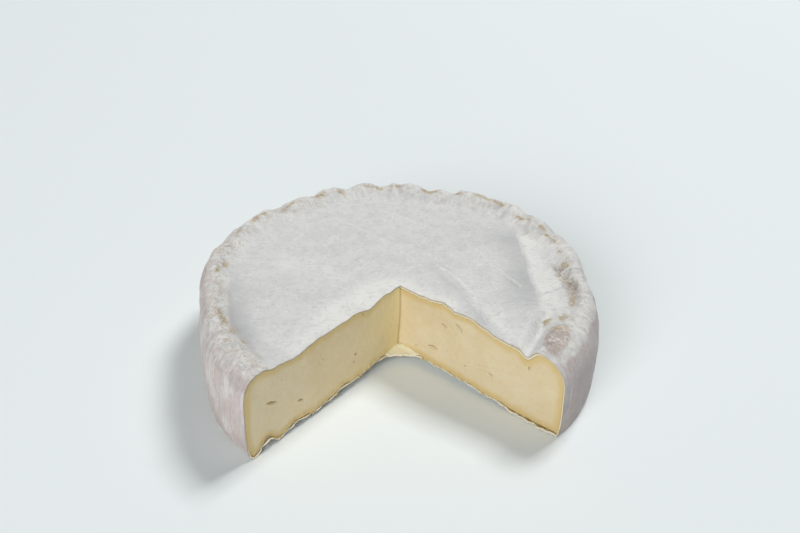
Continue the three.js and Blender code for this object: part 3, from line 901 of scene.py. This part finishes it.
marks = {
    "side": side,
    "painted_right_side_shade": hump(degrees - RIGHT_SHADE_AT, RIGHT_SHADE_REACH),
    "blister": np.clip(blister - cap, 0, 1),
    "tan": np.clip(tan_mark, 0, 1),
    "crest": np.clip(crest * (0.45 + 0.55 * left_rim), 0, 1),
    "nest": np.clip(nest, 0, 1),
    "speck": np.clip(blister + 0.6 * nest, 0, 1),
    "painted_relief_shading": painted_relief_shading,
    "tone": tone,
    "rise": z,
    "edge": edge_mark,
    "ribbon": ribbon,
}
rind = make_piece("rind", rind_points, rind_faces, marks, rind_look)
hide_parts("cheese_wheel")

# The paste
# Soft cream-coloured cheese, cut through by a knife. It is paler at its heart and golden in the
# few millimetres beside the rind, with small eyes, and it fills the shell.
PASTE_GRIP = 0.12
PASTE_HIDDEN = 9.3
FACE_STEPS = 250
FACE_RISES = 104
# How the cut face rises and falls, and crumbles near its foot: height, size and seed of each layer.
CUT_WAVES = [(0.26, 19, 30), (0.15, 6, 31), (0.06, (34, 1.1, 9), 32), (0.07, 2.2, 33)]
CRUMBLE = [(0.4, 2.6, 34), (0.25, 1.3, 35)]
CRUMBLE_FROM, CRUMBLE_FADE = 0.5, 4
SLICES_APART = 50.0
# The paste sticks to the rind at its very edge. The corner between the slices is rounded, and it
# leans to the left at its foot.
STUCK = 0.6
FILLET, FILLET_REACH = 0.9, 1.7
LEAN, LEAN_BELOW, LEAN_REACH = 1.6, 30, 5
# Painted shade in the corner between the slices.
CORNER_SHADE_REACH = 1.1
# Painted light on the left slice, which fades away from the corner between the slices.
PAINTED_LIGHT_REACH = 30
# The eyes: slice, distance from the cut's point, height, length, width, depth and tilt in degrees.
EYES = [
    ("left", 98, 25.8, 8, 1.7, 1.8, 23),
    ("left", 78.2, 15.1, 4.4, 1.2, 1.2, 20),
    ("left", 36.1, 20.3, 2.4, 1.8, 1.9, 0),
    ("left", 90, 35.5, 2.4, 1.2, 0.35, 20),
    ("left", 37.8, 16.2, 1.5, 1.1, 0.8, 0),
    ("left", 29.7, 41.9, 2.0, 1.1, 0.7, 10),
    ("left", 61, 31, 1.4, 0.9, 0.6, 40),
    ("right", 39.7, 35.7, 5.6, 3.0, 2.4, -39),
    ("right", 30, 32.6, 4.6, 1.9, 1.7, -8),
    ("right", 22.6, 15.1, 7.4, 2.1, 2.1, 14),
    ("right", 85.3, 32.8, 3.4, 1.8, 0.7, 80),
    ("right", 61.7, 16.1, 3.0, 1.6, 1.3, -15),
    ("right", 11.6, 10.9, 1.8, 1.2, 0.9, 30),
    ("right", 45, 13.5, 1.7, 1.2, 0.8, 0),
]
EYE_LIP = 0.3
EYE_RAGGED = 0.16
FAINT_EYE = 1.2
# Lines that the knife left on the right slice, with a burr beside each: from, to, depth and width.
KNIFE_FADE = 6
BURR_AT = 0.7
KNIFE_LINES = [
    ((28.9, 11.2), (62.7, 17.8), 0.2, 0.7),
    ((45.9, 16.6), (82.3, 26.4), 0.3, 0.65),
    ((54, 30), (84, 24), 0.14, 0.9),
]


def paste_section(phi):
    """A section just inside the rind, in three stretches: underside, side and top."""
    distance, height = pulled_in(phi, *section(phi), PASTE_GRIP, PASTE_HIDDEN)
    foot = UNDER_ROWS + 3
    shoulder = UNDER_ROWS + WALL_ROWS - 20
    stretches = [(0, foot, FACE_STEPS), (foot, shoulder, FACE_RISES), (shoulder, ROWS - 1, FACE_STEPS)]
    even = []
    for first, last, count in stretches:
        d, h = distance[:, first : last + 1], height[:, first : last + 1]
        steps = np.hypot(np.diff(d, axis=1), np.diff(h, axis=1))
        run = np.concatenate([np.zeros((len(phi), 1)), np.cumsum(steps, axis=1)], axis=1)
        share = np.linspace(0, 1, count + 1)[: None if last == ROWS - 1 else -1]
        even.append(np.array([
            (np.interp(share * r[-1], r, a), np.interp(share * r[-1], r, b)) for r, a, b in zip(run, d, h)
        ]))
    joined = np.concatenate(even, axis=2)
    return joined[:, 0], joined[:, 1]


def mouth(along, height, at, up, length, width, tilt):
    """How deep each point lies in an eye, how far up its lower lip, and how much in its shadow."""
    c, s = math.cos(math.radians(tilt)), math.sin(math.radians(tilt))
    uneven = np.stack([along, height, 0 * along + at], axis=-1)
    run = (along - at) * c + (height - up) * s
    rise = (height - up) * c - (along - at) * s + EYE_RAGGED * width * noise(uneven, 1.5, 61)
    inside = np.clip(1 - (run / (length / 2)) ** 2 - (rise / (width / 2)) ** 2, 0, 1)
    undercut = 0.75 + 0.5 * np.clip(rise / width, -0.5, 0.5)
    lip = hump(run, length / 2) * hump(rise + width * 0.75, width * 0.4)
    return np.sqrt(inside) * undercut, lip, np.sqrt(inside) * smooth(0.55 + 1.3 * rise / width)


paste_distance, paste_height = paste_section(hidden_phi)
paste_points = []
paste_rows = lay_rows(paste_points, hidden_phi, paste_distance, paste_height)
paste_faces = [face for a, b in zip(paste_rows, paste_rows[1:]) for face in stitch(a, b)]
paste_marks = {label: [np.zeros(len(paste_points))] for label in ("depth", "painted_eye_shadow", "painted_corner_shade", "inner")}

# Each slice is a sheet of points stretched between the four edges of its section and pushed in and
# out. It is joined to the hidden faces round its edge, and at the cut's point to the other slice.
PART = 4000
axis_points = None
for end, name, angle in ((0, "right", CUT_ANGLE), (-1, "left", LEFT_ANGLE)):
    boundary = np.stack([paste_distance[end], paste_height[end]], axis=1)
    low_edge = boundary[: FACE_STEPS + 1]
    out_edge = boundary[FACE_STEPS : FACE_STEPS + FACE_RISES + 1]
    top_edge = boundary[FACE_STEPS + FACE_RISES :][::-1]
    u = np.linspace(0, 1, FACE_STEPS + 1)[:, None, None]
    v = np.linspace(0, 1, FACE_RISES + 1)[None, :, None]
    in_edge = low_edge[0] + (top_edge[0] - low_edge[0]) * v[0]
    flat = (1 - v) * low_edge[:, None] + v * top_edge[:, None]
    flat = flat + (1 - u) * in_edge[None] + u * out_edge[None]
    corners = (1 - v) * low_edge[0] + v * top_edge[0], (1 - v) * low_edge[-1] + v * top_edge[-1]
    flat = flat - (1 - u) * corners[0] - u * corners[1]
    along, height = flat[..., 0].ravel(), flat[..., 1].ravel()
    # How far from the rind each point is, for the golden band, worked out in parts to save memory.
    depth = np.empty(along.size)
    for k in range(0, along.size, PART):
        part = flat.reshape(-1, 2)[k : k + PART]
        gap = part[:, None] - boundary[None, ::2]
        depth[k : k + PART] = np.sqrt((gap**2).sum(axis=2)).min(axis=1)
    to_foot = height - np.repeat(low_edge[:, 1], FACE_RISES + 1)
    seat = np.stack([along, height, np.full(along.size, SLICES_APART * (end + 1))], axis=1)
    crumbling = 1 - smooth((to_foot - CRUMBLE_FROM) / CRUMBLE_FADE)
    push = lumps(seat, CUT_WAVES) + crumbling * lumps(seat, CRUMBLE)
    painted_eye_shadow = np.zeros(along.size)
    for slice_name, at, up, length, width, deep, tilt in EYES:
        if slice_name == name:
            inside, lip, dark = mouth(along, height, at, up, length, width, tilt)
            push += EYE_LIP * lip - deep * inside
            # Painted shadow in the eye, under its upper rim.
            painted_eye_shadow = np.maximum(painted_eye_shadow, dark * smooth(deep / FAINT_EYE))
    if name == "right":
        for start, stop, cut, width in KNIFE_LINES:
            across, weight = along_line(along, height, start, stop, KNIFE_FADE)
            push += cut * (hump(across + BURR_AT, width) - hump(across, width)) * weight
    free = smooth(depth / STUCK)
    lean = LEAN * smooth(1 - height / LEAN_BELOW) * np.exp(-along / LEAN_REACH)
    move = (push * free * smooth(along / 2.5))[:, None] * cut_side(angle)
    move[:, 0] -= lean * free
    move[:, 1] -= FILLET * np.exp(-along / FILLET_REACH) * free
    face_points = placed(angle, along, height) + move
    ends = [row[end] for row in paste_rows]
    index = np.empty((FACE_STEPS + 1, FACE_RISES + 1), int)
    index[:, 0] = ends[: FACE_STEPS + 1]
    index[-1, :] = ends[FACE_STEPS : FACE_STEPS + FACE_RISES + 1]
    index[:, -1] = ends[: -FACE_STEPS - 2 : -1]
    new = np.ones(index.shape, bool)
    new[:, 0] = new[-1, :] = new[:, -1] = False
    if axis_points is not None:
        index[0] = axis_points
        new[0] = False
    index[new] = len(paste_points) + np.arange(new.sum())
    axis_points = index[0].copy()
    picked = new.ravel()
    paste_points.extend(face_points[picked])
    # Painted shade in the corner between the slices.
    painted_corner_shade = np.exp(-along / CORNER_SHADE_REACH)
    # Painted light that brightens the left slice towards the corner between the slices.
    inner = np.exp(-along / PAINTED_LIGHT_REACH) * (name == "left")
    for label, values in (("depth", depth), ("painted_eye_shadow", painted_eye_shadow), ("painted_corner_shade", painted_corner_shade), ("inner", inner)):
        paste_marks[label].append(values[picked])
    a, b = index[:-1, :-1].ravel(), index[1:, :-1].ravel()
    c, d = index[1:, 1:].ravel(), index[:-1, 1:].ravel()
    quads = np.stack([a, b, c, d] if end == -1 else [a, d, c, b], axis=1)
    paste_faces += [tuple(quad) for quad in quads.tolist()]

PASTE_CREAM = rgb(226, 207, 169)
PASTE_PALE = rgb(231, 215, 181)
PASTE_GOLD = rgb(219, 192, 132)
PASTE_RIM = rgb(192, 164, 108)
PASTE_SHADE = rgb(205, 180, 126)
EYE_SHADE = rgb(176, 148, 96)
PAINTED_PASTE_LIGHT = rgb(254, 238, 184)
SCRAP_YELLOW = rgb(246, 238, 206)

PASTE_FINISH = {
    "Roughness": 0.5,
    "Specular IOR Level": 0.35,
    "Subsurface Weight": 0.25,
    "Subsurface Radius": (1.0, 0.62, 0.3),
    "Subsurface Scale": 0.003,
}
paste_look, shader, look = new_material("cream_paste", PASTE_FINISH)
colour = look.blend(look.spots(22, 2).between(0.35, 0.7), PASTE_CREAM, PASTE_PALE)
colour = look.blend(look.spots(4, 4).between(0.5, 0.8) * 0.3, colour, PASTE_GOLD)
colour = look.blend(look.spots(1.2, 3).between(0.56, 0.7) * 0.25, colour, PASTE_SHADE)
deep = look.mark("depth") + look.spots(7, 3) * 3.0 - 1.5
colour = look.blend((1 - deep.between(1.4, 5.4)) * 0.9, colour, PASTE_GOLD)
thin = look.mark("depth") + look.spots(3, 3) * 1.0 - 0.5
colour = look.blend((1 - thin.between(0.1, 0.9)) * 0.75, colour, PASTE_RIM)
# Painted light on the left slice near the corner between the slices.
colour = look.blend(look.mark("inner") * 0.8, colour, PAINTED_PASTE_LIGHT)
# Painted shadow in the eyes, under their upper rims.
colour = look.blend(look.mark("painted_eye_shadow").between(0.05, 0.6) * 0.95, colour, EYE_SHADE)
# Painted shade in the corner between the slices, in the colour of the rind's line.
colour = look.blend(look.mark("painted_corner_shade").between(0.25, 0.85) * 0.8, colour, PASTE_RIM)
colour = look.blend(look.mark("scrap"), colour, SCRAP_YELLOW)
feed(shader, "Base Color", colour)
roughen(shader, look.spots(1.2, 4) * 0.12 + look.spots(5, 2) * 0.2)

marks = {label: np.concatenate(parts) for label, parts in paste_marks.items()}
make_piece("paste", np.array(paste_points), paste_faces, marks, paste_look)

# The scrap in the corner of the cut
# A corner of the paste that was cut away stayed behind on its bit of rind. Its front edge is torn,
# and it clings to both slices, with its ends let a little into them.
SCRAP_LEFT = 12.6
SCRAP_RIGHT = 13.8
SCRAP_THICKNESS = 2.6
SCRAP_RIND = 1.0
SCRAP_SUNK = 0.12
SCRAP_BULGE = 0.8
SCRAP_BACK, SCRAP_BACK_SHARE = 2.5, 0.35
SCRAP_STEPS = 56
SCRAP_ROWS = 22


def scrap_piece(name, bottom, top, held_back, seed, material, slot):
    """A torn scrap between two heights above the dish of the underside."""
    bottom, top = BASE_DISH + bottom, BASE_DISH + top
    left = np.array([-math.sin(CUT_ANGLE), -math.cos(CUT_ANGLE)])
    right = np.array([math.sin(CUT_ANGLE), -math.cos(CUT_ANGLE)])
    u = np.linspace(-SCRAP_SUNK, 1 + SCRAP_SUNK, SCRAP_STEPS + 1)[:, None]
    v = np.linspace(0, 1, SCRAP_ROWS + 1)[None]
    front = np.stack([u * right[k] * SCRAP_RIGHT + (1 - u) * left[k] * SCRAP_LEFT for k in (0, 1)], axis=-1)
    spot = np.concatenate([front[:, 0], np.zeros((len(front), 1))], axis=1)
    torn = lumps(spot, [(0.45, 1.7, seed), (0.3, 0.8, seed + 1)])[:, None] - held_back
    torn = torn + SCRAP_BULGE * np.sin(math.pi * np.clip(u, 0, 1))
    back = np.stack([front[..., 0] * SCRAP_BACK_SHARE, np.full(u.shape, SCRAP_BACK)], axis=-1)
    front = front + np.stack([0 * torn, torn], axis=-1)
    plan = back * (1 - v[..., None]) + front * v[..., None]
    x, y = plan[..., 0], plan[..., 1]
    to_slices = np.minimum(np.abs(x * -left[1] + y * left[0]), np.abs(x * right[1] - y * right[0]))
    place = np.stack([x, y, 0 * x], axis=-1).reshape(-1, 3)
    bumps = lumps(place, [(0.25, 2.2, seed + 2), (0.12, 0.9, seed + 3)])
    rise = top + bumps.reshape(x.shape) * (1 if slot == "paste" else 0.4)
    if slot == "paste":
        rise = rise + 0.9 * np.exp(-to_slices / 1.5) - 1.3 * smooth((v - 0.3) / 0.7)
    edge = smooth((1 - v) / 0.1) ** 0.5 * np.ones_like(u)
    middle = (bottom + top) / 2
    upper = middle + (rise - middle) * edge
    lower = middle + (bottom - middle) * edge
    grid = (SCRAP_STEPS + 1) * (SCRAP_ROWS + 1)
    points = np.concatenate([
        np.stack([x, y, upper], axis=-1).reshape(-1, 3),
        np.stack([x, y, lower], axis=-1).reshape(-1, 3),
    ]) + CUT_POINT
    index = np.arange(grid).reshape(SCRAP_STEPS + 1, SCRAP_ROWS + 1)
    under = index + grid
    under[:, -1] = index[:, -1]
    faces = []
    for i in range(SCRAP_STEPS):
        for j in range(SCRAP_ROWS):
            faces.append((index[i, j], index[i, j + 1], index[i + 1, j + 1], index[i + 1, j]))
            faces.append((under[i, j], under[i + 1, j], under[i + 1, j + 1], under[i, j + 1]))
        faces.append((index[i, 0], index[i + 1, 0], under[i + 1, 0], under[i, 0]))
    for i, order in ((0, 1), (SCRAP_STEPS, -1)):
        for j in range(SCRAP_ROWS):
            quad = [index[i, j], under[i, j], under[i, j + 1], index[i, j + 1]][::order]
            faces.append(tuple(v for n, v in enumerate(quad) if v not in quad[:n]))
    used = np.unique([v for face in faces for v in face])
    renumber = np.full(len(points), -1)
    renumber[used] = np.arange(len(used))
    faces = [tuple(int(renumber[v]) for v in face) for face in faces]
    points = points[used]
    whole = np.ones(len(points))
    make_piece(name, points, faces, {"depth": 7 * whole, "scrap": whole, "edge": whole}, material)


scrap_piece("torn_scrap", 0.7, SCRAP_THICKNESS, 0, 40, paste_look, "paste")
scrap_piece("torn_scrap_rind", -0.2, SCRAP_RIND, 0.45, 50, rind_look, "rind")

# The crumbs
# Bits of rind and paste that the knife tore off along the foot of the slices, and that cling
# there. Each is a small closed lump, half sunk into the edge, at a place of its own: its draws give
# the slice, the distance out, the size, and how far it stands up and out.
CRUMB_RINGS = 6
CRUMB_SIDES = 8
CRUMBS = 34
CRUMB_FROM = 13
CRUMB_TO = 104
CRUMBS_ON_RIGHT = 0.45
FIRST_DRAW, DRAWS_EACH = 500, 7
CRUMB_SMALLEST, CRUMB_GROWTH = 0.22, 0.6
CRUMB_SHAPE = (1.5, 0.9, 0.6)
CRUMB_LOWEST = 0.02


def crumb_piece(name, batch, material):
    points, faces = [], []
    for n in range(CRUMBS):
        k = FIRST_DRAW + DRAWS_EACH * (n + batch * CRUMBS)
        angle = CUT_ANGLE if draw(k) < CRUMBS_ON_RIGHT else LEFT_ANGLE
        along = CRUMB_FROM + (CRUMB_TO - CRUMB_FROM) * draw(k + 1) ** 0.7
        distance, height = section(np.array([angle]))
        under = np.interp(along, distance[0, :UNDER_ROWS], height[0, :UNDER_ROWS])
        size = CRUMB_SMALLEST + CRUMB_GROWTH * draw(k + 2) ** 2.5
        middle = placed(angle, along, under + 0.35 + 0.5 * draw(k + 3))
        middle = middle + cut_side(angle) * (0.25 + 0.5 * draw(k + 4))
        turns = np.linspace(0, math.pi, CRUMB_RINGS + 1)[1:-1, None]
        sides = np.linspace(0, 2 * math.pi, CRUMB_SIDES, endpoint=False)[None]
        upright = np.cos(turns) + 0 * sides
        ball = np.stack([np.sin(turns) * np.cos(sides), np.sin(turns) * np.sin(sides), upright], axis=-1)
        ball = np.concatenate([[[0, 0, 1]], ball.reshape(-1, 3), [[0, 0, -1]]])
        shape = size * (1 + 0.6 * noise(ball + 9 * n, 0.9, 62))[:, None] * CRUMB_SHAPE
        lump = middle + ball * shape
        lump[:, 2] = np.maximum(lump[:, 2], CRUMB_LOWEST)
        base, last = len(points), len(ball) - 1
        points.extend(lump)
        for s in range(CRUMB_SIDES):
            after = (s + 1) % CRUMB_SIDES
            faces.append((base, base + 1 + s, base + 1 + after))
            faces.append((base + last, base + last - CRUMB_SIDES + after, base + last - CRUMB_SIDES + s))
            for ring in range(CRUMB_RINGS - 2):
                a, b = base + 1 + ring * CRUMB_SIDES, base + 1 + (ring + 1) * CRUMB_SIDES
                faces.append((a + s, b + s, b + after, a + after))
    marks = {"edge": np.full(len(points), 0.55), "depth": np.full(len(points), 2.0)}
    make_piece(name, np.array(points), faces, marks, material)


crumb_piece("rind_crumbs", 0, rind_look)
crumb_piece("paste_crumbs", 1, paste_look)

# The floor and the light
# A plain pale floor, and wide soft lights: one from the front on the left, and one from high up
# on the right at the back, so that the right slice is the brighter one.
FLOOR_SIZE = 30
FLOOR_FINISH = {"Base Color": rgb(236, 242, 242), "Roughness": 0.9, "Specular IOR Level": 0.1}
LIGHT_TARGET = Vector((0, 0, 0.02))
ROOM_COLOUR = rgb(244, 247, 250)
ROOM_LIGHT = 0.19
floor_look = new_material("pale_floor", FLOOR_FINISH)[0]
bpy.ops.mesh.primitive_plane_add(size=FLOOR_SIZE, location=(0, 0, 0))
floor = bpy.context.object
floor.name = "floor"
floor.data.materials.append(floor_look)

LIGHTS = [
    # name, place, size, power
    ("key_left_front", (-2.0, -3.44, 2.3), 2.4, 118),
    ("soft_right_back", (1.85, 1.95, 3.7), 1.4, 129),
]
for name, place, size, power in LIGHTS:
    light = bpy.data.objects.new(name, bpy.data.lights.new(name, "AREA"))
    light.data.size = size
    light.data.energy = power
    light.location = place
    light.rotation_euler = (LIGHT_TARGET - Vector(place)).to_track_quat("-Z", "Y").to_euler()
    scene.collection.objects.link(light)
world = bpy.data.worlds.new("pale_room")
world.use_nodes = True
background = world.node_tree.nodes["Background"]
background.inputs["Color"].default_value = ROOM_COLOUR
background.inputs["Strength"].default_value = ROOM_LIGHT
scene.world = world
scene.view_settings.view_transform = "Standard"
